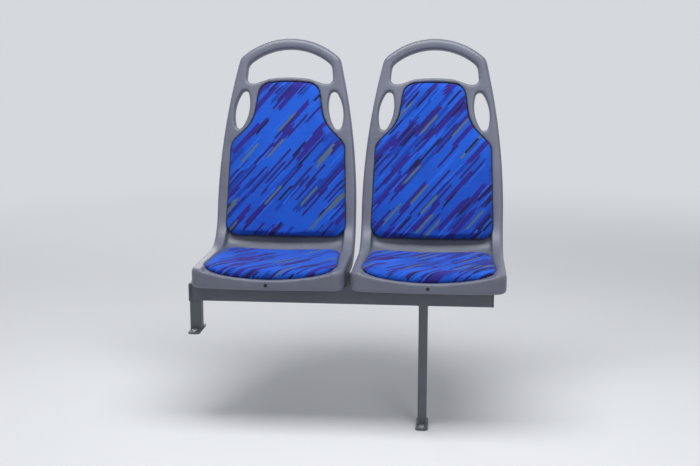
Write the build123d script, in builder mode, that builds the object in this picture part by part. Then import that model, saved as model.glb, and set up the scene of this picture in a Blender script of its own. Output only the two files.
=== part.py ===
# Twin passenger seat for a city bus: two moulded shells with upholstered pads on a steel underframe.
# Origin: centre of the aisle leg's foot on the floor. +X is the aisle side, -Y the sitter's front, +Z up.
# All lengths are in millimetres.
from build123d import *
from math import cos, radians, sin, sqrt, tan
import os

os.makedirs("parts", exist_ok=True)

# Shells: how wide they are, how they stand, and the corner where the pan's rim and the back's face meet
pan_half_width = 210.0
shell_gap = 17.0
rim_z = 463.0
flange_height = 55.0
flank_over_corner = 7.0
lip_to_leg = 115.0
leg_to_corner = 244.0
leg_to_shell = 14.0
lip_bow = 11.0
pan_corner_radius = 32.0
rim_corner_radius = 110.0
recline = 14.2
back_depth = 36.0
outer_edge_round = 10.0
rear_edge_bevel = 6.0
opening_edge_bevel = 4.0

# Handle arch over the back, and the opening under it down to the cross bar. Drops and rises are measured
# along the reclined back: drops from the top of the arch, rises from the pan's rim.
arch_top_z = 1069.0
arch_rise = 61.0
arch_corner_radius = 15.0
arch_end_half_width = 152.0
arch_bar = 31.0
upright_bar = 19.0
opening_shoulder = 5.0
opening_corner_radius = 25.0
cross_bar_height = 15.0
cross_bar_bow = 4.0
pocket_drop = 20.0
pocket_width = 30.0
pocket_run = 45.0
pocket_radius = 16.0
pocket_bend = 40.0
cross_bar_bend = 100.0
cross_bar_crown = 400.0

# Oval grips through the uprights
grip_drop = 218.0
grip_outer_bar = 20.0
grip_width = 44.0
grip_side_radius = 127.0
grip_end_radius = 12.0
grip_tilt = 9.0

# Dish that the pads lie in, the panel behind it and the ribs on that panel
rim_width = 14.0
dish_depth = 26.0
dish_side_rise = 24.0
flank_run = 10.0
flank_rise = 50.0
dish_corner_radius = 62.0
dish_margin = 1.5
panel_wall = 6.0
frame_band = 24.0
hollow_front_wall = 46.0
rib_spacing = 56.0
rib_thickness = 4.0
rib_height = 12.0

# Pads
pad_recess = 4.0
pad_gap = 0.3
back_pad_proud = 31.0
back_pad_edge_proud = 37.0
seat_pad_proud = 20.0
seat_pad_edge_proud = 32.0
pad_bevel = 5.0
recess_over_rim = 7.0
back_pad_drop = 133.0
back_pad_rise = 26.0
back_pad_top_bow = 7.0
neck_margin = 15.0
neck_flare = 17.0
neck_low_drop = 255.0
neck_low_bend = 110.0
neck_corner_radius = 40.0
shoulder_drop = 322.0
shoulder_bend = 45.0
shoulder_inset = 9.0
upright_width = 29.0
back_pad_corner_radius = 34.0
seat_pad_front_margin = 17.0
seat_pad_side_margin = 22.0
seat_pad_taper = 16.0
seat_pad_back_gap = 52.0
seat_pad_bow = 12.0
seat_pad_front_radius = 70.0
seat_pad_back_radius = 40.0

# Screw head in the middle of each lip
lip_screw_drop = 39.0
lip_screw_head = 2.0
lip_screw_head_radius = 5.0

# Underframe
rail_thickness = 6.0
rail_width = 34.0
rail_inset = 114.0
rail_overhang = 8.0
rail_land = 42.0
beam_height = 50.0
beam_depth = 40.0
beam_wall = 2.5
beam_corner = 4.0
beam_spacing = 137.0
beam_end_inset = 35.0
cap_thickness = 4.0
cap_plug = 14.0
plug_gap = 0.2
bolt_head_height = 5.3
bolt_head_across = 13.0
bolt_from_beam = 18.0

# Legs, feet and the plate on the side wall
leg_side = 25.0
ledge_leg_side = 32.0
leg_wall = 2.5
leg_corner = 3.0
ledge_z = 262.0
foot_plate_thickness = 5.0
foot_plate_margin = 9.0
foot_plate_length = 96.0
foot_plate_corner = 6.0
foot_bolt_spacing = 70.0
bolt_hole_radius = 4.5
wall_gap = 23.0
wall_plate_thickness = 5.0
wall_plate_overhang = 6.0
wall_bolt_spacing = 60.0

# Heights and places that follow from the sizes above
lean = radians(recline)
back_plane = Plane(origin=(0, leg_to_corner, rim_z), x_dir=(1, 0, 0), z_dir=(0, -cos(lean), sin(lean)))
wide_bevel = outer_edge_round * (1 - tan(radians(22.5)))
narrow_bevel = outer_edge_round * (1 - tan(radians(11.25))) - wide_bevel
through_back = Axis((0, leg_to_corner, rim_z), back_plane.z_dir)
arch_top = (arch_top_z - rim_z) / cos(lean)
arch_end = arch_top - arch_rise
over_arch_z = arch_top_z + arch_bar
far_below = lip_to_leg + leg_to_corner + flange_height
flank_top = rim_corner_radius * tan(radians(45) - lean / 2) + flank_over_corner
shell_pitch = 2 * pan_half_width + shell_gap
shell_bottom_z = rim_z - flange_height
lip_y = -lip_to_leg
pan_z = rim_z - dish_depth
dish_half_width = pan_half_width - rim_width
side_taper = pan_half_width - arch_end_half_width
side_radius = (side_taper**2 + (arch_end - flank_top) ** 2) / (2 * side_taper)
grip_middle = arch_top - grip_drop
side_at_grip = pan_half_width - side_radius + sqrt(side_radius**2 - (grip_middle - flank_top) ** 2)
grip_x = side_at_grip - grip_outer_bar - grip_width / 2
pad_top = arch_top - back_pad_drop
beam_top_z = shell_bottom_z - rail_thickness
rail_offset = pan_half_width - rail_inset
window_x = leg_to_shell - shell_pitch
wall_x = window_x - pan_half_width - wall_gap
seat_places = (("window", window_x), ("aisle", leg_to_shell))


def back_y(z, behind=0.0):
    """Depth of the back's face at height z, or of a plane this far behind it."""
    return leg_to_corner + (z - rim_z) * tan(lean) + behind / cos(lean)


def side_line(level, behind, corner_radius):
    """Pan, corner and back seen from the side: the pan at this level, the back this far behind its face."""
    corner_run = corner_radius * tan(radians(45) - lean / 2)
    pan = Line((lip_y - rim_width, level), (back_y(level, behind) - corner_run, level))
    corner = JernArc(pan @ 1, (1, 0), corner_radius, 90 - recline)
    back = Line(corner @ 1, (back_y(over_arch_z, behind), over_arch_z))
    return Wire([pan, corner, back])


def shell_view():
    """Whole shell seen square on to its back: straight flanks, tapering sides and the arch."""
    with BuildSketch(back_plane) as face:
        with BuildLine():
            foot = Line((-pan_half_width, -far_below), (pan_half_width, -far_below))
            flank = Line(foot @ 1, (pan_half_width, flank_top))
            side = TangentArc(flank @ 1, (arch_end_half_width, arch_end), tangent=(0, 1))
            arch = ThreePointArc(side @ 1, (0, arch_top), (-arch_end_half_width, arch_end))
            TangentArc((-pan_half_width, flank_top), arch @ 1, tangent=(0, 1))
            Line((-pan_half_width, flank_top), foot @ 0)
        make_face()
        fillet(face.vertices().sort_by(Axis.Y)[-2:], radius=arch_corner_radius)
    return face


def handle_opening():
    """Opening under the arch: its top runs even with the arch, its floor is the bowed cross bar."""
    arch_radius = (arch_end_half_width**2 + arch_rise**2) / (2 * arch_rise)
    under_radius = arch_radius - arch_bar
    half_width = arch_end_half_width - upright_bar
    top_half_width = half_width - opening_shoulder
    top_end = arch_top - arch_radius + sqrt(under_radius**2 - top_half_width**2)
    bar_top = pad_top + cross_bar_height
    bar_end = bar_top - cross_bar_bow
    floor_level = bar_top - pocket_drop
    floor_x = half_width - pocket_width
    bar_half_width = floor_x - pocket_run
    with BuildSketch(back_plane) as face:
        with BuildLine():
            floor = FilletPolyline(
                (top_half_width, top_end),
                (half_width, floor_level),
                (floor_x, floor_level),
                (bar_half_width, bar_end),
                (0, bar_top),
                (-bar_half_width, bar_end),
                (-floor_x, floor_level),
                (-half_width, floor_level),
                (-top_half_width, top_end),
                radius=(
                    pocket_radius,
                    pocket_bend,
                    cross_bar_bend,
                    cross_bar_crown,
                    cross_bar_bend,
                    pocket_bend,
                    pocket_radius,
                ),
            )
            ThreePointArc(floor @ 1, (0, arch_top - arch_bar), floor @ 0)
        make_face()
        fillet(face.vertices().sort_by(Axis.Y)[-2:], radius=opening_corner_radius)
    return face


def grip_view():
    """One leaf-shaped grip: two long arcs that meet in small round ends."""
    arc_offset = grip_side_radius - grip_width / 2
    with BuildSketch() as leaf:
        with Locations((arc_offset, 0)):
            Circle(grip_side_radius)
        with Locations((-arc_offset, 0)):
            Circle(grip_side_radius, mode=Mode.INTERSECT)
        fillet(leaf.vertices(), radius=grip_end_radius)
    return leaf


def back_pad_view(grow=0.0, foot=back_pad_rise):
    """Back pad seen square on: narrow between the grips, flaring to the shoulders."""
    neck_low = grip_x - grip_width / 2 - neck_margin + grow
    neck_top = neck_low - neck_flare
    bottom = pan_half_width - upright_width + grow
    with BuildSketch(back_plane) as face:
        with BuildLine():
            right = FilletPolyline(
                (0, foot - grow),
                (bottom, foot - grow),
                (bottom - shoulder_inset, arch_top - shoulder_drop),
                (neck_low, arch_top - neck_low_drop),
                (neck_top, pad_top - back_pad_top_bow + grow),
                radius=(back_pad_corner_radius, shoulder_bend, neck_low_bend),
            )
            mirror(right, about=Plane.YZ)
            ThreePointArc(right @ 1, (0, pad_top + grow), (-neck_top, pad_top - back_pad_top_bow + grow))
        make_face()
        fillet(face.vertices().sort_by(Axis.Y)[-2:], radius=neck_corner_radius)
    return face


def seat_pad_plan(grow=0.0):
    """Seat pad seen from above, bowed forwards like the lip."""
    front_y = lip_y + seat_pad_front_margin - grow
    rear_y = leg_to_corner - seat_pad_back_gap + grow
    wide = pan_half_width - seat_pad_side_margin + grow
    narrow = wide - seat_pad_taper
    with BuildSketch(Plane.XY) as plan:
        with BuildLine():
            front = ThreePointArc((-wide, front_y + seat_pad_bow), (0, front_y), (wide, front_y + seat_pad_bow))
            Polyline(front @ 1, (narrow, rear_y), (-narrow, rear_y), front @ 0)
        make_face()
        corners = plan.vertices().sort_by(Axis.Y)
        fillet(corners[:2], radius=seat_pad_front_radius)
        fillet(plan.vertices().sort_by(Axis.Y)[-2:], radius=seat_pad_back_radius)
    return plan


def dish_path():
    """Middle line of the dish, from before the lip over the corner and up past the arch."""
    with BuildLine() as path:
        side_line(pan_z, dish_depth, dish_corner_radius)
    return Plane.YZ * path.wires()[0]


def dish_arc(height):
    """Arc across the shell that runs even with the dish, this far above it."""
    ends_z = pan_z + height + dish_side_rise
    return ThreePointArc((-dish_half_width, ends_z), (0, pan_z + height), (dish_half_width, ends_z))


def open_layer(height):
    """All the space on the sitter's side of the dish, from this height above it."""
    wide = dish_half_width + flank_run
    with BuildPart() as layer:
        with BuildSketch(Plane.XZ.offset(rim_width - lip_y)):
            with BuildLine():
                floor = dish_arc(height)
                Polyline(floor @ 1, (wide, pan_z + flank_rise), (-wide, pan_z + flank_rise), floor @ 0)
            make_face()
        sweep(path=dish_path())
    return layer.part


def pad_layer(middle_proud, edge_proud):
    """Foam between the recess in the dish and the pad's hollow face."""
    edge_z = pan_z + edge_proud
    with BuildPart() as layer:
        with BuildSketch(Plane.XZ.offset(rim_width - lip_y)):
            with BuildLine():
                under = dish_arc(pad_gap - pad_recess)
                over = ThreePointArc(
                    (-dish_half_width, edge_z), (0, pan_z + middle_proud), (dish_half_width, edge_z)
                )
                Line(under @ 0, over @ 0)
                Line(under @ 1, over @ 1)
            make_face()
        sweep(path=dish_path())
    return layer.part


def hollow_layer():
    """Space behind the panel and under the pan, with the ribs standing in it."""
    roof_height = -pad_recess - panel_wall
    floor_z = pan_z - 2 * back_depth
    rib_foot_z = pan_z + roof_height - rib_height
    with BuildPart() as layer:
        with BuildSketch(Plane.XZ.offset(rim_width - lip_y)):
            with BuildLine():
                roof = dish_arc(roof_height)
                Polyline(roof @ 1, (dish_half_width, floor_z), (-dish_half_width, floor_z), roof @ 0)
            make_face()
            with Locations((0, rib_foot_z)):
                with GridLocations(rib_spacing, 0, 3, 1):
                    Rectangle(rib_thickness, 3 * rib_height, align=(Align.CENTER, Align.MIN), mode=Mode.SUBTRACT)
        sweep(path=dish_path())
    return layer.part


def rim_edges(solid, profile):
    """Edges round the faces that lie on this side profile, without the seams between those faces."""
    on_profile = ShapeList()
    for face in solid.faces():
        point = face.position_at(0.5, 0.5)
        if profile.distance_to(Vertex(point.Y, point.Z)) < 1:
            on_profile.append(face)
    edges = on_profile.edges()
    seams = edges.filter_by(Axis.X).filter_by(lambda edge: edge.length > pan_half_width)
    return ShapeList(edge for edge in edges if not any(edge.is_same(seam) for seam in seams))


def along_bevel(edges, bevel):
    """Edges that run along a fresh bevel of this length, without the short seams across it."""
    seam_length = bevel * sqrt(2)
    return ShapeList(edge for edge in edges if abs(edge.length - seam_length) > narrow_bevel / 10)


# Spaces that are cut out of the moulding
with BuildPart() as dish_space:
    add(open_layer(0))
    extrude(back_pad_view(dish_margin, -far_below).sketch, amount=arch_top_z, both=True, mode=Mode.INTERSECT)

with BuildPart() as pad_space:
    extrude(back_pad_view(pad_gap).sketch, amount=arch_top_z, both=True)
    extrude(seat_pad_plan(pad_gap).sketch, amount=rim_z + recess_over_rim)
    add(open_layer(-pad_recess), mode=Mode.INTERSECT)

with BuildPart() as hollow_space:
    add(hollow_layer())
    extrude(back_pad_view(-frame_band, -far_below).sketch, amount=arch_top_z, both=True, mode=Mode.INTERSECT)
    with BuildSketch(Plane.XY):
        with Locations((0, lip_y + hollow_front_wall)):
            Rectangle(2 * pan_half_width, arch_top_z, align=(Align.CENTER, Align.MIN))
    extrude(amount=over_arch_z, mode=Mode.INTERSECT)
    with BuildSketch(Plane.XY.offset(shell_bottom_z - rail_thickness)):
        with GridLocations(2 * rail_offset, 0, 2, 1):
            Rectangle(rail_land, 2 * (beam_spacing + beam_depth))
    extrude(amount=flange_height, mode=Mode.SUBTRACT)

# One moulded shell, made about x = 0. Its rim is rounded by three strips: a wide bevel, then a narrow one
# along each side of it, all touching the same arc.
with BuildPart() as moulding:
    with BuildSketch(Plane.YZ):
        with BuildLine():
            face_line = side_line(rim_z, 0, rim_corner_radius)
            rear_line = side_line(shell_bottom_z, back_depth, rim_corner_radius + back_depth)
            Line(face_line @ 0, rear_line @ 0)
            Line(face_line @ 1, rear_line @ 1)
        make_face()
    extrude(amount=pan_half_width + rim_width, both=True)
    extrude(shell_view().sketch, amount=arch_top_z, both=True, mode=Mode.INTERSECT)
    with BuildSketch(Plane.XY) as plan:
        with BuildLine():
            lip = ThreePointArc((-pan_half_width, lip_y + lip_bow), (0, lip_y), (pan_half_width, lip_y + lip_bow))
            Polyline(lip @ 1, (pan_half_width, arch_top_z), (-pan_half_width, arch_top_z), lip @ 0)
        make_face()
        fillet(plan.vertices().sort_by(Axis.Y)[:2], radius=pan_corner_radius)
    extrude(amount=over_arch_z, mode=Mode.INTERSECT)
    chamfer(rim_edges(moulding, face_line), length=wide_bevel)
    chamfer(along_bevel(moulding.edges(Select.LAST), wide_bevel), length=narrow_bevel)
    chamfer(rim_edges(moulding, rear_line), length=rear_edge_bevel)
    extrude(handle_opening().sketch, amount=arch_top_z, both=True, mode=Mode.SUBTRACT)
    chamfer(moulding.edges(Select.LAST).filter_by(through_back, reverse=True), length=opening_edge_bevel)
    with BuildSketch(back_plane):
        for side_sign in (-1, 1):
            with Locations(Location((side_sign * grip_x, grip_middle, 0), (0, 0, side_sign * grip_tilt))):
                add(grip_view().sketch)
    extrude(amount=2 * back_depth, both=True, mode=Mode.SUBTRACT)
    chamfer(moulding.edges(Select.LAST).filter_by(through_back, reverse=True), length=opening_edge_bevel)
    add(hollow_space.part, mode=Mode.SUBTRACT)
    add(dish_space.part, mode=Mode.SUBTRACT)
    add(pad_space.part, mode=Mode.SUBTRACT)

for place, middle_x in seat_places:
    with BuildPart() as shell:
        with Locations((middle_x, 0, 0)):
            add(moulding.part)
    shell.part.label = f"shell_{place}"
    export_step(shell.part, f"parts/shell_{place}.step")

# Upholstered pads: each follows the dish behind it and is bevelled all round its face
with BuildPart() as back_pad:
    add(pad_layer(back_pad_proud, back_pad_edge_proud))
    extrude(back_pad_view().sketch, amount=arch_top_z, both=True, mode=Mode.INTERSECT)
    sitter_face = back_pad.faces().sort_by(SortBy.AREA)[-2:].sort_by(Axis.Y)[0]
    chamfer(sitter_face.edges(), length=pad_bevel)

with BuildPart() as seat_pad:
    add(pad_layer(seat_pad_proud, seat_pad_edge_proud))
    extrude(seat_pad_plan().sketch, amount=arch_top_z, mode=Mode.INTERSECT)
    sitter_face = seat_pad.faces().sort_by(SortBy.AREA)[-2:].sort_by(Axis.Z)[-1]
    chamfer(sitter_face.edges(), length=pad_bevel)

for place, middle_x in seat_places:
    for pad_name, pad in (("back_pad", back_pad), ("seat_pad", seat_pad)):
        with BuildPart() as cushion:
            with Locations((middle_x, 0, 0)):
                add(pad.part)
        cushion.part.label = f"{pad_name}_{place}"
        export_step(cushion.part, f"parts/{pad_name}_{place}.step")

# Screw head on the middle of each lip
for place, middle_x in seat_places:
    with BuildPart() as lip_screw:
        with BuildSketch(Plane.XZ.offset(lip_to_leg)):
            with Locations((middle_x, rim_z - lip_screw_drop)):
                Circle(lip_screw_head_radius)
        extrude(amount=lip_screw_head)
    lip_screw.part.label = f"lip_screw_{place}"
    export_step(lip_screw.part, f"parts/lip_screw_{place}.step")

# Two cross beams of rectangular tube from the wall plate to the open aisle end, each with a pressed-in cap
beam_start_x = wall_x + wall_plate_thickness
beam_end_x = leg_to_shell + pan_half_width - beam_end_inset
beam_middle_z = beam_top_z - beam_height / 2
for place, beam_y in (("front", 0.0), ("rear", beam_spacing)):
    with BuildPart() as beam:
        with BuildSketch(Plane.YZ.offset(beam_start_x)):
            with Locations((beam_y, beam_middle_z)):
                RectangleRounded(beam_depth, beam_height, beam_corner)
                Rectangle(beam_depth - 2 * beam_wall, beam_height - 2 * beam_wall, mode=Mode.SUBTRACT)
        extrude(amount=beam_end_x - beam_start_x)
    beam.part.label = f"beam_{place}"
    export_step(beam.part, f"parts/beam_{place}.step")
    with BuildPart() as beam_cap:
        with BuildSketch(Plane.YZ.offset(beam_end_x)):
            with Locations((beam_y, beam_middle_z)):
                RectangleRounded(beam_depth, beam_height, beam_corner)
        extrude(amount=cap_thickness)
        with BuildSketch(Plane.YZ.offset(beam_end_x)):
            with Locations((beam_y, beam_middle_z)):
                plug_depth = beam_depth - 2 * (beam_wall + plug_gap)
                Rectangle(plug_depth, beam_height - 2 * (beam_wall + plug_gap))
        extrude(amount=-cap_plug)
    beam_cap.part.label = f"beam_cap_{place}"
    export_step(beam_cap.part, f"parts/beam_cap_{place}.step")

# Flat rails across the beams under each shell, with hexagon-headed bolts up through them into the shell
rail_start_y = -beam_depth / 2 - rail_overhang
rail_end_y = beam_spacing + beam_depth / 2
bolt_rows = (beam_depth / 2 + bolt_from_beam, beam_spacing - beam_depth / 2 - bolt_from_beam)
for place, middle_x in seat_places:
    for side_name, side_sign in (("wallside", -1), ("aisleside", 1)):
        with BuildPart() as rail:
            with BuildSketch(Plane.XY.offset(beam_top_z)):
                with Locations((middle_x + side_sign * rail_offset, rail_start_y)):
                    Rectangle(rail_width, rail_end_y - rail_start_y, align=(Align.CENTER, Align.MIN))
            extrude(amount=rail_thickness)
        rail.part.label = f"rail_{place}_{side_name}"
        export_step(rail.part, f"parts/rail_{place}_{side_name}.step")
    with BuildPart() as pan_bolts:
        with BuildSketch(Plane.XY.offset(beam_top_z)):
            for bolt_y in bolt_rows:
                with Locations((middle_x, bolt_y)):
                    with GridLocations(2 * rail_offset, 0, 2, 1):
                        RegularPolygon(bolt_head_across / 2, side_count=6, major_radius=False)
        extrude(amount=-bolt_head_height)
    pan_bolts.part.label = f"pan_bolts_{place}"
    export_step(pan_bolts.part, f"parts/pan_bolts_{place}.step")

# Square tube legs under the front beam, each on a flat foot plate with a bolt hole before and behind it
leg_table = (
    ("leg", 0.0, leg_side, leg_side + foot_plate_margin, 0.0),
    ("ledge_leg", wall_x + ledge_leg_side / 2, ledge_leg_side, ledge_leg_side, ledge_z),
)
for name, leg_x, side, plate_width, foot_z in leg_table:
    with BuildPart() as leg:
        with BuildSketch(Plane.XY.offset(foot_z + foot_plate_thickness)):
            with Locations((leg_x, 0)):
                RectangleRounded(side, side, leg_corner)
                Rectangle(side - 2 * leg_wall, side - 2 * leg_wall, mode=Mode.SUBTRACT)
        extrude(amount=beam_top_z - beam_height - foot_z - foot_plate_thickness)
    leg.part.label = name
    export_step(leg.part, f"parts/{name}.step")
    with BuildPart() as foot:
        with BuildSketch(Plane.XY.offset(foot_z)):
            with Locations((leg_x, 0)):
                plate = Rectangle(plate_width, foot_plate_length)
                chamfer(plate.vertices(), length=foot_plate_corner)
                with GridLocations(0, foot_bolt_spacing, 1, 2):
                    Circle(bolt_hole_radius, mode=Mode.SUBTRACT)
        extrude(amount=foot_plate_thickness)
    foot.part.label = f"{name}_foot"
    export_step(foot.part, f"parts/{name}_foot.step")

# Plate that joins the beams' wall ends, with two bolt holes between them
with BuildPart() as wall_plate:
    with BuildSketch(Plane.YZ.offset(wall_x)):
        with Locations((beam_spacing / 2, beam_middle_z)):
            Rectangle(beam_spacing + beam_depth + 2 * wall_plate_overhang, beam_height)
            with GridLocations(wall_bolt_spacing, 0, 2, 1):
                Circle(bolt_hole_radius, mode=Mode.SUBTRACT)
    extrude(amount=wall_plate_thickness)
wall_plate.part.label = "wall_plate"
export_step(wall_plate.part, "parts/wall_plate.step")
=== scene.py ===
import math
import bmesh
import bpy
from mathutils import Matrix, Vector
from mathutils.bvhtree import BVHTree


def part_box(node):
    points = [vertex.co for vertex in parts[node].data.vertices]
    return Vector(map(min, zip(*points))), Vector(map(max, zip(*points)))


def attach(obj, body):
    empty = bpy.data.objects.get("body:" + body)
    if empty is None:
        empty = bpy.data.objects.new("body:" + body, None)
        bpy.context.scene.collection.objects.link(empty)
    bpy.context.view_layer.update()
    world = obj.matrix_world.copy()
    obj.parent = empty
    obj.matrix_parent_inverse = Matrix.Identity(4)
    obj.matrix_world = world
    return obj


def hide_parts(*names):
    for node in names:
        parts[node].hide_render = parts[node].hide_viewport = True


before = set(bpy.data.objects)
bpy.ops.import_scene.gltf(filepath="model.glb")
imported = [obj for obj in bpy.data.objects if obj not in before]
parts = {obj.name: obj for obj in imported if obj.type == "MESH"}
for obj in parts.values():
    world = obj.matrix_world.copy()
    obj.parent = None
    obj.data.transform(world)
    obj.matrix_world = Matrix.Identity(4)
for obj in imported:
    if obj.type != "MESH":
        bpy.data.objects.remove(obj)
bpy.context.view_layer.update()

# The viewpoint: about 1.2 m over the floor, ahead of the seat and a little to its aisle side, looking
# slightly down at it. The place is that of a camera fitted to the photograph's perspective, and the lens
# is longer than that camera's, so that the seat fills the picture.
scene = bpy.context.scene
eye =Vector((0.087, -3.087, 1.165))
looked_at = Vector((-0.214, 0.100, 0.530))
lens = bpy.data.cameras.new("gangway_view")
lens.lens = 59.0
lens.sensor_width = 36.0
viewer = bpy.data.objects.new("gangway_view", lens)
viewer.location = eye
viewer.rotation_euler = (looked_at - eye).to_track_quat("-Z", "Y").to_euler()
scene.collection.objects.link(viewer)
scene.camera = viewer
scene.view_settings.view_transform = "Standard"


# The room: a wide floor of pale paper that fades into pale walls all round. It is lit by a long soft
# panel overhead, by weaker ones from the front and the rear, and by an even light from all sides.
def lay_mesh(name, points, faces, smooth=True):
    mesh = bpy.data.meshes.new(name)
    mesh.from_pydata([tuple(point) for point in points], [], faces)
    mesh.update()
    for polygon in mesh.polygons:
        polygon.use_smooth = smooth
    laid = bpy.data.objects.new(name, mesh)
    scene.collection.objects.link(laid)
    return laid


def add_node(tree, kind, inputs=None, **settings):
    node = tree.nodes.new(kind)
    for setting, value in settings.items():
        setattr(node, setting, value)
    for socket, value in (inputs or {}).items():
        if isinstance(value, bpy.types.NodeSocket):
            tree.links.new(value, node.inputs[socket])
        else:
            node.inputs[socket].default_value = value
    return node


def new_finish(name, **shader_values):
    finish = bpy.data.materials.new(name)
    finish.use_nodes = True
    shader = finish.node_tree.nodes["Principled BSDF"]
    for socket, value in shader_values.items():
        shader.inputs[socket.replace("_", " ")].default_value = value
    return finish, finish.node_tree, shader


pale_wall = (0.665, 0.685, 0.715, 1)
floor_rings = (0.5, 1.0, 2.0, 4.0, 8.0, 16.0, 40.0)
floor_sides = 96
floor_points, floor_faces = [(0.0, 0.0, 0.0)], []
for ring, reach in enumerate(floor_rings):
    for side in range(floor_sides):
        turn = 2 * math.pi * side / floor_sides
        floor_points.append((reach * math.cos(turn), reach * math.sin(turn), 0.0))
        this_corner = ring * floor_sides + side + 1
        next_corner = ring * floor_sides + (side + 1) % floor_sides + 1
        inner = (this_corner - floor_sides, next_corner - floor_sides) if ring else (0,)
        floor_faces.append((*inner[:1], this_corner, next_corner, *inner[1:]))
floor = lay_mesh("pale_floor", floor_points, floor_faces, smooth=False)
paper, tree, shader = new_finish("pale_paper", Roughness=0.9)
place = add_node(tree, "ShaderNodeTexCoord").outputs["Object"]
mottle = add_node(tree, "ShaderNodeTexNoise", {"Vector": place, "Scale": 1.5, "Detail": 2.0})
tint = add_node(tree, "ShaderNodeValToRGB", {"Fac": mottle.outputs["Fac"]})
tint.color_ramp.elements[0].color = (0.72, 0.73, 0.75, 1)
tint.color_ramp.elements[1].color = (0.76, 0.77, 0.79, 1)
tree.links.new(tint.outputs["Color"], shader.inputs["Base Color"])


def seen_ray(tree):
    """One for camera, glossy and transmission rays, nought for the rays that only light things."""
    path = add_node(tree, "ShaderNodeLightPath").outputs
    straight = add_node(
        tree, "ShaderNodeMath", {0: path["Is Camera Ray"], 1: path["Is Glossy Ray"]}, operation="MAXIMUM"
    )
    return add_node(
        tree,
        "ShaderNodeMath",
        {0: straight.outputs[0], 1: path["Is Transmission Ray"]},
        operation="MAXIMUM",
    ).outputs[0]


far_off = add_node(tree, "ShaderNodeVectorMath", {0: place}, operation="LENGTH").outputs["Value"]
faded = add_node(
    tree,
    "ShaderNodeMapRange",
    {"Value": far_off, "From Min": 0.9, "From Max": 5.0},
    interpolation_type="SMOOTHERSTEP",
)
into_wall = add_node(
    tree, "ShaderNodeMath", {0: faded.outputs["Result"], 1: seen_ray(tree)}, operation="MULTIPLY"
)
wall_glow = add_node(tree, "ShaderNodeEmission", {"Color": pale_wall})
fade = add_node(
    tree,
    "ShaderNodeMixShader",
    {0: into_wall.outputs[0], 1: shader.outputs[0], 2: wall_glow.outputs[0]},
)
tree.links.new(fade.outputs[0], tree.nodes["Material Output"].inputs["Surface"])
floor.data.materials.append(paper)

for lamp_name, place, aim, wide, deep, power in (
    ("ceiling_panel", (-0.2, -0.5, 2.7), (-0.2, 0.1, 0.5), 2.6, 1.0, 62.0),
    ("front_panel", (1.6, -3.2, 1.9), (-0.2, 0.1, 0.6), 1.4, 1.4, 22.0),
    ("rear_panel", (-1.5, 3.4, 1.8), (-0.2, 0.2, 0.6), 1.6, 1.6, 20.0),
):
    lamp_data = bpy.data.lights.new(lamp_name, "AREA")
    lamp_data.shape = "RECTANGLE"
    lamp_data.size = wide
    lamp_data.size_y = deep
    lamp_data.energy = power
    lamp = bpy.data.objects.new(lamp_name, lamp_data)
    lamp.location = place
    lamp.rotation_euler = (Vector(aim) - Vector(place)).to_track_quat("-Z", "Y").to_euler()
    lamp.visible_camera = False
    scene.collection.objects.link(lamp)
daylight = bpy.data.worlds.new("room_light")
scene.world = daylight
daylight.use_nodes = True
tree = daylight.node_tree
room_light = tree.nodes["Background"]
room_light.inputs["Color"].default_value = (0.92, 0.95, 1.0, 1)
room_light.inputs["Strength"].default_value = 0.36
walls = add_node(tree, "ShaderNodeBackground", {"Color": pale_wall, "Strength": 1.0})
surround = add_node(
    tree, "ShaderNodeMixShader", {0: seen_ray(tree), 1: room_light.outputs[0], 2: walls.outputs[0]}
)
tree.links.new(surround.outputs[0], tree.nodes["World Output"].inputs["Surface"])

# The underframe: cross beams of rectangular tube, flat rails, square legs and plates, all steel with a
# baked dark grey powder coat that shows a slight orange peel.
powder_coat, tree, shader = new_finish("dark_grey_powder_coat", Specular_IOR_Level=0.45)
place = add_node(tree, "ShaderNodeTexCoord").outputs["Object"]
film = add_node(tree, "ShaderNodeTexNoise", {"Vector": place, "Scale": 14.0, "Detail": 3.0})
coat = add_node(tree, "ShaderNodeValToRGB", {"Fac": film.outputs["Fac"]})
coat.color_ramp.elements[0].position = 0.3
coat.color_ramp.elements[0].color = (0.080, 0.087, 0.108, 1)
coat.color_ramp.elements[1].position = 0.7
coat.color_ramp.elements[1].color = (0.100, 0.108, 0.130, 1)
tree.links.new(coat.outputs["Color"], shader.inputs["Base Color"])
gloss = add_node(
    tree,
    "ShaderNodeMapRange",
    {"Value": film.outputs["Fac"], "From Min": 0.2, "From Max": 0.8, "To Min": 0.38, "To Max": 0.5},
)
tree.links.new(gloss.outputs["Result"], shader.inputs["Roughness"])
peel = add_node(tree, "ShaderNodeTexNoise", {"Vector": place, "Scale": 520.0, "Detail": 1.0})
folded_edges = add_node(tree, "ShaderNodeBevel", {"Radius": 0.0012}, samples=4)
peel_relief = add_node(
    tree,
    "ShaderNodeBump",
    {
        "Height": peel.outputs["Fac"],
        "Strength": 0.2,
        "Distance": 0.0004,
        "Normal": folded_edges.outputs["Normal"],
    },
)
tree.links.new(peel_relief.outputs["Normal"], shader.inputs["Normal"])


def finish_part(name, finish):
    part = parts[name]
    if not part.material_slots:
        part.data.materials.append(finish)
    for material_slot in part.material_slots:
        material_slot.material = finish


beam_names = ("beam_front", "beam_rear")
rail_names = (
    "rail_window_wallside",
    "rail_window_aisleside",
    "rail_aisle_wallside",
    "rail_aisle_aisleside",
)
leg_names = ("leg", "leg_foot", "ledge_leg", "ledge_leg_foot")
for name in (*beam_names, *rail_names, *leg_names, "wall_plate"):
    finish_part(name, powder_coat)


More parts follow.
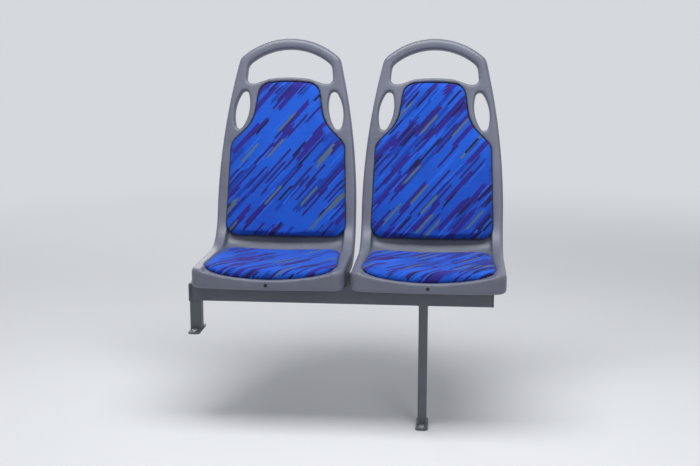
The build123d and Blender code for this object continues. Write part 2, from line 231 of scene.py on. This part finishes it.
# The welds: rippled steel beads under the same coat. The aisle leg has one all round at its foot and at
# the beam, the ledge leg one on three sides at either end, each beam one all round at the wall plate,
# and each rail a short one along both edges where it crosses a beam.
def weld_bead(name, corners, closed=True, thick=0.0023):
    """Rippled round bead along a run of corners, tapered at its ends unless the run is closed."""
    ripple_pitch, sides = 0.0012, 10
    corners = [Vector(corner) for corner in corners]
    ends = corners[1:] + corners[:1] if closed else corners[1:]
    run = []
    for begin, end in zip(corners, ends):
        count = max(2, round((end - begin).length / ripple_pitch))
        run += [begin.lerp(end, step / count) for step in range(count)]
    if not closed:
        run.append(corners[-1])
    points = []
    for step, middle in enumerate(run):
        before = run[step - 1] if closed or step else run[step]
        after = run[(step + 1) % len(run)] if closed or step + 1 < len(run) else run[step]
        onward = (after - before).normalized()
        out = onward.orthogonal().normalized()
        up = onward.cross(out)
        ripple = 1 + 0.10 * math.sin(step * 2.1) + 0.05 * math.sin(step * 0.37)
        if not closed:
            ripple *= min(1.0, 0.35 + 0.2 * min(step, len(run) - 1 - step))
        for side in range(sides):
            turn = 2 * math.pi * side / sides
            points.append(middle + (out * math.cos(turn) + up * math.sin(turn)) * thick * ripple)
    rings = len(run)
    faces = []
    for ring in range(rings if closed else rings - 1):
        this_ring, next_ring = ring * sides, ((ring + 1) % rings) * sides
        for side in range(sides):
            after = (side + 1) % sides
            faces.append((this_ring + side, this_ring + after, next_ring + after, next_ring + side))
    if not closed:
        faces.append(tuple(range(sides))[::-1])
        faces.append(tuple(range((rings - 1) * sides, rings * sides)))
    bead = lay_mesh(name, points, faces)
    bead.data.materials.append(powder_coat)
    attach(bead, "root")


def square_round(low, high, level, grow=0.0005):
    return [
        (low[0] - grow, low[1] - grow, level),
        (high[0] + grow, low[1] - grow, level),
        (high[0] + grow, high[1] + grow, level),
        (low[0] - grow, high[1] + grow, level),
    ]


low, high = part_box("leg")
weld_bead("leg_foot_weld", square_round(low, high, low[2]))
weld_bead("leg_beam_weld", square_round(low, high, high[2]))
low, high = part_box("ledge_leg")
clear_of_wall = low[0] + 0.003
for joint_name, level in (("foot", low[2]), ("beam", high[2])):
    three_sides = square_round(low, high, level)
    for end in (0, 3):
        three_sides[end] = (clear_of_wall, three_sides[end][1], level)
    weld_bead(f"ledge_leg_{joint_name}_weld", three_sides, closed=False)
side_inset, corner_inset, rail_weld_inset = 0.001, 0.004, 0.007
for beam_name in beam_names:
    low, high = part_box(beam_name)
    front_y, rear_y = low[1] + side_inset, high[1] - side_inset
    under_z, over_z = low[2] + corner_inset, high[2] - corner_inset
    weld_bead(
        f"{beam_name}_wall_weld",
        [
            (low[0], front_y, under_z),
            (low[0], front_y, over_z),
            (low[0], rear_y, over_z),
            (low[0], rear_y, under_z),
        ],
        thick=0.0020,
    )
    for rail_name in rail_names:
        rail_low, rail_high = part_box(rail_name)
        for edge, side_x in (("wall", rail_low[0]), ("aisle", rail_high[0])):
            weld_bead(
                f"{beam_name}_{rail_name}_{edge}_weld",
                [(side_x, low[1] + rail_weld_inset, high[2]), (side_x, high[1] - rail_weld_inset, high[2])],
                closed=False,
            )

# The caps in the open aisle ends of the two beams: moulded in black polyethylene with a dull surface,
# and pressed into the tube.
cap_plastic, tree, shader = new_finish("black_cap_plastic")
place = add_node(tree, "ShaderNodeTexCoord").outputs["Object"]
matt = add_node(tree, "ShaderNodeTexNoise", {"Vector": place, "Scale": 300.0, "Detail": 3.0})
black = add_node(tree, "ShaderNodeValToRGB", {"Fac": matt.outputs["Fac"]})
black.color_ramp.elements[0].color = (0.020, 0.021, 0.024, 1)
black.color_ramp.elements[1].color = (0.034, 0.035, 0.040, 1)
tree.links.new(black.outputs["Color"], shader.inputs["Base Color"])
dull = add_node(
    tree,
    "ShaderNodeMapRange",
    {"Value": matt.outputs["Fac"], "To Min": 0.5, "To Max": 0.65},
)
tree.links.new(dull.outputs["Result"], shader.inputs["Roughness"])
for name in ("beam_cap_front", "beam_cap_rear"):
    finish_part(name, cap_plastic)

# The two shells: each is one moulding of through-coloured grey plastic with a fine spark grain, bolted
# to the rails from below, its arch polished by use, with fine level scratches all over. Its skin is
# rounded here from the solid, and thickened inside the bend, where the solid is too thin.
moulded_plastic, tree, shader = new_finish("moulded_grey_plastic", IOR=1.48)
place = add_node(tree, "ShaderNodeTexCoord").outputs["Object"]
height = add_node(tree, "ShaderNodeSeparateXYZ", {0: place}).outputs["Z"]
cloudy = add_node(tree, "ShaderNodeTexNoise", {"Vector": place, "Scale": 9.0, "Detail": 4.0})
grey = add_node(tree, "ShaderNodeValToRGB", {"Fac": cloudy.outputs["Fac"]})
grey.color_ramp.elements[0].position = 0.3
grey.color_ramp.elements[0].color = (0.112, 0.122, 0.162, 1)
grey.color_ramp.elements[1].position = 0.7
grey.color_ramp.elements[1].color = (0.137, 0.148, 0.193, 1)
scratches = add_node(tree, "ShaderNodeMapping", {"Vector": place, "Scale": (14.0, 14.0, 190.0)})
fine_lines = add_node(
    tree, "ShaderNodeTexNoise", {"Vector": scratches.outputs["Vector"], "Scale": 1.0, "Detail": 5.0}
)
worn = add_node(
    tree,
    "ShaderNodeMapRange",
    {"Value": fine_lines.outputs["Fac"], "From Min": 0.60, "From Max": 0.78, "To Min": 0.0, "To Max": 0.22},
)
scuffed = add_node(
    tree,
    "ShaderNodeMix",
    {"Factor": worn.outputs["Result"], "A": grey.outputs["Color"], "B": (0.24, 0.25, 0.30, 1)},
    data_type="RGBA",
)
tree.links.new(scuffed.outputs["Result"], shader.inputs["Base Color"])
polish = add_node(
    tree,
    "ShaderNodeMapRange",
    {"Value": height, "From Min": 0.90, "From Max": 1.05, "To Min": 0.0, "To Max": 0.10},
)
sheen_patches = add_node(
    tree,
    "ShaderNodeMapRange",
    {"Value": cloudy.outputs["Fac"], "From Min": 0.2, "From Max": 0.8, "To Min": 0.36, "To Max": 0.46},
)
satin = add_node(
    tree,
    "ShaderNodeMath",
    {0: sheen_patches.outputs["Result"], 1: polish.outputs["Result"]},
    operation="SUBTRACT",
)
tree.links.new(satin.outputs[0], shader.inputs["Roughness"])
spark_grain = add_node(tree, "ShaderNodeTexNoise", {"Vector": place, "Scale": 900.0, "Detail": 2.0})
soft_edges = add_node(tree, "ShaderNodeBevel", {"Radius": 0.0045}, samples=6)
grain_relief = add_node(
    tree,
    "ShaderNodeBump",
    {
        "Height": spark_grain.outputs["Fac"],
        "Strength": 0.25,
        "Distance": 0.0004,
        "Normal": soft_edges.outputs["Normal"],
    },
)
tree.links.new(grain_relief.outputs["Normal"], shader.inputs["Normal"])


def bend_web(node, middle_x):
    """Thin closed layer that thickens the panel inside the bend between back and seat.

    It is laid on the panel along rays from a line over the seat, thickest in its middle.
    """
    wall = BVHTree.FromPolygons(
        [vertex.co for vertex in parts[node].data.vertices],
        [tuple(polygon.vertices) for polygon in parts[node].data.polygons],
    )
    half_width, most_added, sunk = 0.105, 0.0055, 0.0005
    over_seat_y, over_seat_z = 0.12, 0.56
    first_turn, whole_turn = math.radians(12), math.radians(48)
    columns, rows = 29, 25
    fronts, backs = [], []
    for column in range(columns):
        off = half_width * (2 * column / (columns - 1) - 1)
        fade = math.cos(0.5 * math.pi * off / half_width) ** 2
        for row in range(rows):
            share = row / (rows - 1)
            turn = first_turn + whole_turn * share
            way = Vector((0.0, math.cos(turn), -math.sin(turn)))
            met = wall.ray_cast(Vector((middle_x + off, over_seat_y, over_seat_z)), way)[0]
            fronts.append(met - way * most_added * fade * math.sin(math.pi * share) ** 2)
            backs.append(met + way * sunk)
    points = fronts + backs
    faces, under = [], columns * rows
    for column in range(columns - 1):
        for row in range(rows - 1):
            corner = column * rows + row
            quad = (corner, corner + 1, corner + rows + 1, corner + rows)
            faces.append(quad)
            faces.append(tuple(under + index for index in quad[::-1]))
    rim = [column * rows for column in range(columns)]
    rim += [(columns - 1) * rows + row for row in range(1, rows)]
    rim += [column * rows + rows - 1 for column in range(columns - 2, -1, -1)]
    rim += [row for row in range(rows - 2, 0, -1)]
    for corner, after in zip(rim, rim[1:] + rim[:1]):
        faces.append((corner, after, under + after, under + corner))
    return points, faces


def evenly_remeshed(node, name, voxel, added=((), ())):
    """Even skin over a copy of a solid's mesh, joined with the points and faces that are added."""
    mesh = parts[node].data.copy()
    skin = bpy.data.objects.new(name, mesh)
    scene.collection.objects.link(skin)
    shaper = bmesh.new()
    shaper.from_mesh(mesh)
    bmesh.ops.remove_doubles(shaper, verts=shaper.verts, dist=0.00001)
    points, faces = added
    corners = [shaper.verts.new(point) for point in points]
    layer = [shaper.faces.new([corners[index] for index in face]) for face in faces]
    if layer:
        bmesh.ops.recalc_face_normals(shaper, faces=layer)
    shaper.to_mesh(mesh)
    shaper.free()
    bpy.ops.object.select_all(action="DESELECT")
    bpy.context.view_layer.objects.active = skin
    skin.select_set(True)
    remesh = skin.modifiers.new("even_skin", "REMESH")
    remesh.mode = "VOXEL"
    remesh.voxel_size = voxel
    bpy.ops.object.modifier_apply(modifier=remesh.name)
    return skin


def finish_skin(skin, finish):
    for polygon in skin.data.polygons:
        polygon.use_smooth = True
    skin.data.materials.clear()
    skin.data.materials.append(finish)


def twin_of(first, second_name, shift):
    second = first.copy()
    second.data = first.data.copy()
    second.name = second_name
    scene.collection.objects.link(second)
    for vertex in second.data.vertices:
        vertex.co.x += shift
    return second


seat_places = {"window": -0.423, "aisle": 0.014}
seat_pitch = seat_places["aisle"] - seat_places["window"]
for seat in seat_places:
    finish_part(f"shell_{seat}", moulded_plastic)
shell_voxel = 0.0036
moulding = evenly_remeshed(
    "shell_window", "moulding_window", shell_voxel, bend_web("shell_window", seat_places["window"])
)
arch_foot_z, arch_blend = 0.955, 0.035
hand_hold = moulding.vertex_groups.new(name="hand_hold")
for vertex in moulding.data.vertices:
    up_arch = min(1.0, max(0.0, (vertex.co.z - arch_foot_z) / arch_blend))
    if up_arch > 0:
        hand_hold.add([vertex.index], up_arch * up_arch * (3 - 2 * up_arch), "REPLACE")
arch_fullness = moulding.modifiers.new("arch_swell", "DISPLACE")
arch_fullness.vertex_group = "hand_hold"
arch_fullness.strength = 0.0012
arch_fullness.mid_level = 0.0
for soften_name, rounds, group in (("arch_round", 24, "hand_hold"), ("edge_round", 6, "")):
    soften = moulding.modifiers.new(soften_name, "SMOOTH")
    soften.factor = 0.5
    soften.iterations = rounds
    soften.vertex_group = group
for modifier in list(moulding.modifiers):
    bpy.ops.object.modifier_apply(modifier=modifier.name)
finish_skin(moulding, moulded_plastic)
for skin, seat in ((moulding, "window"), (twin_of(moulding, "moulding_aisle", seat_pitch), "aisle")):
    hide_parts(f"shell_{seat}")
    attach(skin, "root")

# The bolts: zinc-plated steel with hexagon heads. Four hold each shell from under the rails, and two,
# each over a washer, hold each foot and the wall plate.
zinc, tree, shader = new_finish("zinc_plate", Metallic=1.0)
place = add_node(tree, "ShaderNodeTexCoord").outputs["Object"]
spangle = add_node(tree, "ShaderNodeTexNoise", {"Vector": place, "Scale": 160.0, "Detail": 4.0})
plated = add_node(tree, "ShaderNodeValToRGB", {"Fac": spangle.outputs["Fac"]})
plated.color_ramp.elements[0].color = (0.40, 0.41, 0.43, 1)
plated.color_ramp.elements[1].color = (0.60, 0.61, 0.62, 1)
tree.links.new(plated.outputs["Color"], shader.inputs["Base Color"])
brushed = add_node(
    tree, "ShaderNodeMapRange", {"Value": spangle.outputs["Fac"], "To Min": 0.28, "To Max": 0.48}
)
tree.links.new(brushed.outputs["Result"], shader.inputs["Roughness"])
for name in ("pan_bolts_window", "pan_bolts_aisle"):
    finish_part(name, zinc)


def turned_outline(name, rings, finish, seat, outward):
    """Closed solid from rings of (radius, height, corners); six corners make a hexagon."""
    sides = 36
    points, faces = [], []
    for radius, height, corners in rings:
        for side in range(sides):
            turn = 2 * math.pi * side / sides
            reach = radius
            if corners:
                part_turn = (turn + math.pi / corners) % (2 * math.pi / corners) - math.pi / corners
                reach = radius / math.cos(part_turn)
            points.append((reach * math.cos(turn), reach * math.sin(turn), height))
    for ring in range(len(rings) - 1):
        low_ring, high_ring = ring * sides, (ring + 1) * sides
        for side in range(sides):
            after = (side + 1) % sides
            faces.append((low_ring + side, low_ring + after, high_ring + after, high_ring + side))
    faces.append(tuple(range(sides))[::-1])
    faces.append(tuple(range((len(rings) - 1) * sides, len(rings) * sides)))
    turned = lay_mesh(name, points, faces, smooth=False)
    turned.data.materials.append(finish)
    turned.rotation_euler = Vector(outward).to_track_quat("Z", "Y").to_euler()
    turned.location = seat
    bpy.context.view_layer.update()
    turned.data.transform(turned.matrix_world)
    turned.matrix_world.identity()
    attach(turned, "root")
    return turned


washer_rings = ((0.0082, 0.0, 0), (0.0084, 0.0003, 0), (0.0084, 0.0013, 0), (0.0080, 0.0016, 0))
head_rings = (
    (0.0062, 0.0016, 6),
    (0.0065, 0.0020, 6),
    (0.0065, 0.0062, 6),
    (0.0058, 0.0069, 0),
    (0.0030, 0.0069, 0),
)
foot_bolt_offset, wall_bolt_offset = 0.035, 0.030
bolt_seats = []
for foot_name in ("leg_foot", "ledge_leg_foot"):
    low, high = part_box(foot_name)
    for way in (-1, 1):
        seat = ((low[0] + high[0]) / 2, (low[1] + high[1]) / 2 + way * foot_bolt_offset, high[2])
        bolt_seats.append((f"{foot_name}_{'rear' if way > 0 else 'front'}", seat, (0, 0, 1)))
low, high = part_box("wall_plate")
for way in (-1, 1):
    seat = (high[0], (low[1] + high[1]) / 2 + way * wall_bolt_offset, (low[2] + high[2]) / 2)
    bolt_seats.append((f"wall_plate_{'rear' if way > 0 else 'front'}", seat, (1, 0, 0)))
for bolt_name, seat, outward in bolt_seats:
    turned_outline(f"{bolt_name}_washer", washer_rings, zinc, seat, outward)
    turned_outline(f"{bolt_name}_bolt", head_rings, zinc, seat, outward)

# The screw in the middle of each lip: a small steel one in black oxide, with a domed head and a hexagon
# socket, driven in from the front.
black_screw, tree, shader = new_finish("black_oxide_screw", Metallic=0.6)
place = add_node(tree, "ShaderNodeTexCoord").outputs["Object"]
oxide = add_node(tree, "ShaderNodeTexNoise", {"Vector": place, "Scale": 400.0, "Detail": 2.0})
blacked = add_node(tree, "ShaderNodeValToRGB", {"Fac": oxide.outputs["Fac"]})
blacked.color_ramp.elements[0].color = (0.015, 0.015, 0.017, 1)
blacked.color_ramp.elements[1].color = (0.032, 0.032, 0.036, 1)
tree.links.new(blacked.outputs["Color"], shader.inputs["Base Color"])
oiled = add_node(
    tree, "ShaderNodeMapRange", {"Value": oxide.outputs["Fac"], "To Min": 0.35, "To Max": 0.55}
)
tree.links.new(oiled.outputs["Result"], shader.inputs["Roughness"])
dome_rings = (
    (0.0048, 0.0, 0),
    (0.0049, 0.0004, 0),
    (0.0045, 0.0011, 0),
    (0.0037, 0.0017, 0),
    (0.0026, 0.0020, 0),
    (0.0015, 0.0020, 6),
    (0.0014, 0.0007, 6),
)
for seat_name in seat_places:
    node = f"lip_screw_{seat_name}"
    finish_part(node, black_screw)
    low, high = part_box(node)
    back_of_head = ((low[0] + high[0]) / 2, high[1], (low[2] + high[2]) / 2)
    domed = turned_outline(f"domed_{node}", dome_rings, black_screw, back_of_head, (0, -1, 0))
    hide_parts(node)


# The upholstered pads: a moulded foam slab on a board, covered with short-pile woven cloth pulled
# tight round its edge, pressed into the shell's shallow recess. They have no piping and no channels.
def woven_strokes(name, over_y):
    """Royal blue cloth with slanting woven strokes; over_y is the share of the depth added to the height."""
    cloth, tree, shader = new_finish(name, Sheen_Weight=0.06, Sheen_Roughness=0.5, IOR=1.35)

    def calc(operation, first, second=0.0, third=0.0):
        return add_node(
            tree, "ShaderNodeMath", {0: first, 1: second, 2: third}, operation=operation
        ).outputs[0]

    place = add_node(tree, "ShaderNodeTexCoord").outputs["Object"]
    split = add_node(tree, "ShaderNodeSeparateXYZ", {0: place})
    across = split.outputs["X"]
    along = calc("MULTIPLY_ADD", split.outputs["Y"], over_y, split.outputs["Z"])
    lean = math.radians(50)
    stroke = calc(
        "ADD", calc("MULTIPLY", across, math.cos(lean)), calc("MULTIPLY", along, math.sin(lean))
    )
    row = calc(
        "SUBTRACT", calc("MULTIPLY", along, math.cos(lean)), calc("MULTIPLY", across, math.sin(lean))
    )

    def chance(first, second):
        pair = add_node(tree, "ShaderNodeCombineXYZ", {"X": first, "Y": second})
        return add_node(
            tree,
            "ShaderNodeTexWhiteNoise",
            {"Vector": pair.outputs[0]},
            noise_dimensions="2D",
        ).outputs["Value"]

    frayed = stroke
    for bundle, reach, seed in ((0.0052, 0.022, 5.0), (0.0022, 0.008, 3.0)):
        thread = calc("FLOOR", calc("MULTIPLY", row, 1 / bundle))
        frayed = calc("MULTIPLY_ADD", calc("SUBTRACT", chance(thread, seed), 0.5), reach, frayed)

    start_spread, crowd_stretch, crowd_depth, thread_pitch = 7.3, 2.6, 1.1, 0.0018

    def stroke_layer(width, length, seed, crowd_share):
        band = calc("FLOOR", calc("MULTIPLY", row, 1 / width))
        started = calc("MULTIPLY", chance(band, seed), start_spread)
        piece = calc("FLOOR", calc("MULTIPLY_ADD", frayed, 1 / length, started))
        middle = calc("MULTIPLY", calc("SUBTRACT", piece, started), length)
        spot = add_node(
            tree,
            "ShaderNodeCombineXYZ",
            {"X": middle, "Y": calc("MULTIPLY", band, crowd_stretch * width)},
        )
        crowd = add_node(
            tree, "ShaderNodeTexNoise", {"Vector": spot.outputs[0], "Scale": 9.0, "Detail": 1.0}
        ).outputs["Fac"]
        crowding = calc("MULTIPLY", calc("SUBTRACT", crowd, 0.5), crowd_depth * crowd_share)
        return calc("ADD", chance(calc("ADD", piece, seed), band), crowding)

    def dyed(cover, under, colour):
        return add_node(
            tree,
            "ShaderNodeMix",
            {"Factor": cover, "A": under, "B": colour},
            data_type="RGBA",
        ).outputs["Result"]

    shade = add_node(tree, "ShaderNodeTexNoise", {"Vector": place, "Scale": 5.0, "Detail": 2.0})
    ground = add_node(tree, "ShaderNodeValToRGB", {"Fac": shade.outputs["Fac"]})
    ground.color_ramp.elements[0].position = 0.35
    ground.color_ramp.elements[0].color = (0.005, 0.056, 0.41, 1)
    ground.color_ramp.elements[1].position = 0.65
    ground.color_ramp.elements[1].color = (0.008, 0.088, 0.55, 1)
    colour = ground.outputs["Color"]
    for width, length, seed, least, crowd_share, dye in (
        (0.0105, 0.130, 11.0, 0.83, 0.6, (0.005, 0.040, 0.33, 1)),
        (0.0135, 0.120, 23.0, 0.82, 1.0, (0.020, 0.015, 0.22, 1)),
        (0.0065, 0.090, 37.0, 0.86, 1.0, (0.015, 0.013, 0.16, 1)),
        (0.0050, 0.075, 41.0, 0.93, 0.5, (0.010, 0.105, 0.62, 1)),
        (0.0070, 0.075, 53.0, 0.955, 0.2, (0.075, 0.120, 0.17, 1)),
        (0.0065, 0.060, 67.0, 0.962, 0.2, (0.007, 0.007, 0.060, 1)),
    ):
        drawn = stroke_layer(width, length, seed, crowd_share)
        colour = dyed(calc("GREATER_THAN", drawn, least), colour, dye)
    tree.links.new(colour, shader.inputs["Base Color"])
    pile = add_node(tree, "ShaderNodeTexNoise", {"Vector": place, "Scale": 1100.0, "Detail": 1.0})
    ribs = calc("SINE", calc("MULTIPLY", across, 2 * math.pi / thread_pitch))
    picks = calc("SINE", calc("MULTIPLY", along, 2 * math.pi / thread_pitch))
    weave = calc("ADD", calc("MULTIPLY", calc("ADD", ribs, picks), 0.25), pile.outputs["Fac"])
    relief = add_node(tree, "ShaderNodeBump", {"Height": weave, "Strength": 0.45, "Distance": 0.0006})
    tree.links.new(relief.outputs["Normal"], shader.inputs["Normal"])
    nap = add_node(
        tree,
        "ShaderNodeMapRange",
        {"Value": pile.outputs["Fac"], "From Min": 0.2, "From Max": 0.8, "To Min": 0.78, "To Max": 0.95},
    )
    tree.links.new(nap.outputs["Result"], shader.inputs["Roughness"])
    return cloth


def covered_pad(node, face_way, finish, most_swell, most_drawn_in, snug):
    """Pad pushed out by its foam on the face and drawn in at the sides, then eased against the rim."""
    pad_voxel, last_moment = 0.0045, 20
    pad = evenly_remeshed(node, node.replace("pad", "cushion"), pad_voxel)
    mesh = pad.data
    start = [vertex.co.copy() for vertex in mesh.vertices]
    face_way = Vector(face_way).normalized()
    foam = pad.modifiers.new("foam_push", "CLOTH")
    foam.settings.use_pressure = True
    foam.settings.uniform_pressure_force = 4.0
    foam.settings.effector_weights.gravity = 0.0
    foam.settings.quality = 6
    foam.point_cache.frame_start = 1
    foam.point_cache.frame_end = last_moment
    for moment in range(1, last_moment + 1):
        scene.frame_set(moment)
    swollen = pad.evaluated_get(bpy.context.evaluated_depsgraph_get()).data
    pushed = [vertex.co.copy() for vertex in swollen.vertices]
    pad.modifiers.remove(foam)
    scene.frame_set(1)
    for vertex, point, moved in zip(mesh.vertices, start, pushed):
        move = moved - point
        rise = move.dot(face_way)
        drawn_in = move - face_way * rise
        if drawn_in.dot(vertex.normal) > 0:
            drawn_in = Vector()
        if drawn_in.length > most_drawn_in:
            drawn_in = drawn_in.normalized() * most_drawn_in
        facing = max(0.0, vertex.normal.dot(face_way))
        vertex.co = point + face_way * min(max(rise, 0.0), most_swell) * facing + drawn_in
    soften = pad.modifiers.new("soft_edge", "SMOOTH")
    soften.factor = 0.5
    soften.iterations = 5
    bpy.ops.object.modifier_apply(modifier=soften.name)
    for vertex in mesh.vertices:
        sideways = vertex.normal - face_way * vertex.normal.dot(face_way)
        vertex.co += sideways * snug
    finer = pad.modifiers.new("fine_skin", "SUBSURF")
    finer.levels = 1
    finer.render_levels = 1
    bpy.ops.object.modifier_apply(modifier=finer.name)
    finish_skin(pad, finish)
    return pad


def settle_pad(pad, node):
    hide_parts(node)
    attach(pad, "root")


back_cloth = woven_strokes("woven_strokes_upright", 0.25)
seat_cloth = woven_strokes("woven_strokes_level", 1.0)
recline = math.radians(14.2)
for node, face_way, finish in (
    ("back_pad", (0, -math.cos(recline), math.sin(recline)), back_cloth),
    ("seat_pad", (0, 0, 1), seat_cloth),
):
    pad = covered_pad(
        f"{node}_window", face_way, finish, most_swell=0.006, most_drawn_in=0.002, snug=0.0014
    )
    second = twin_of(pad, pad.name.replace("window", "aisle"), seat_pitch)
    settle_pad(pad, f"{node}_window")
    settle_pad(second, f"{node}_aisle")
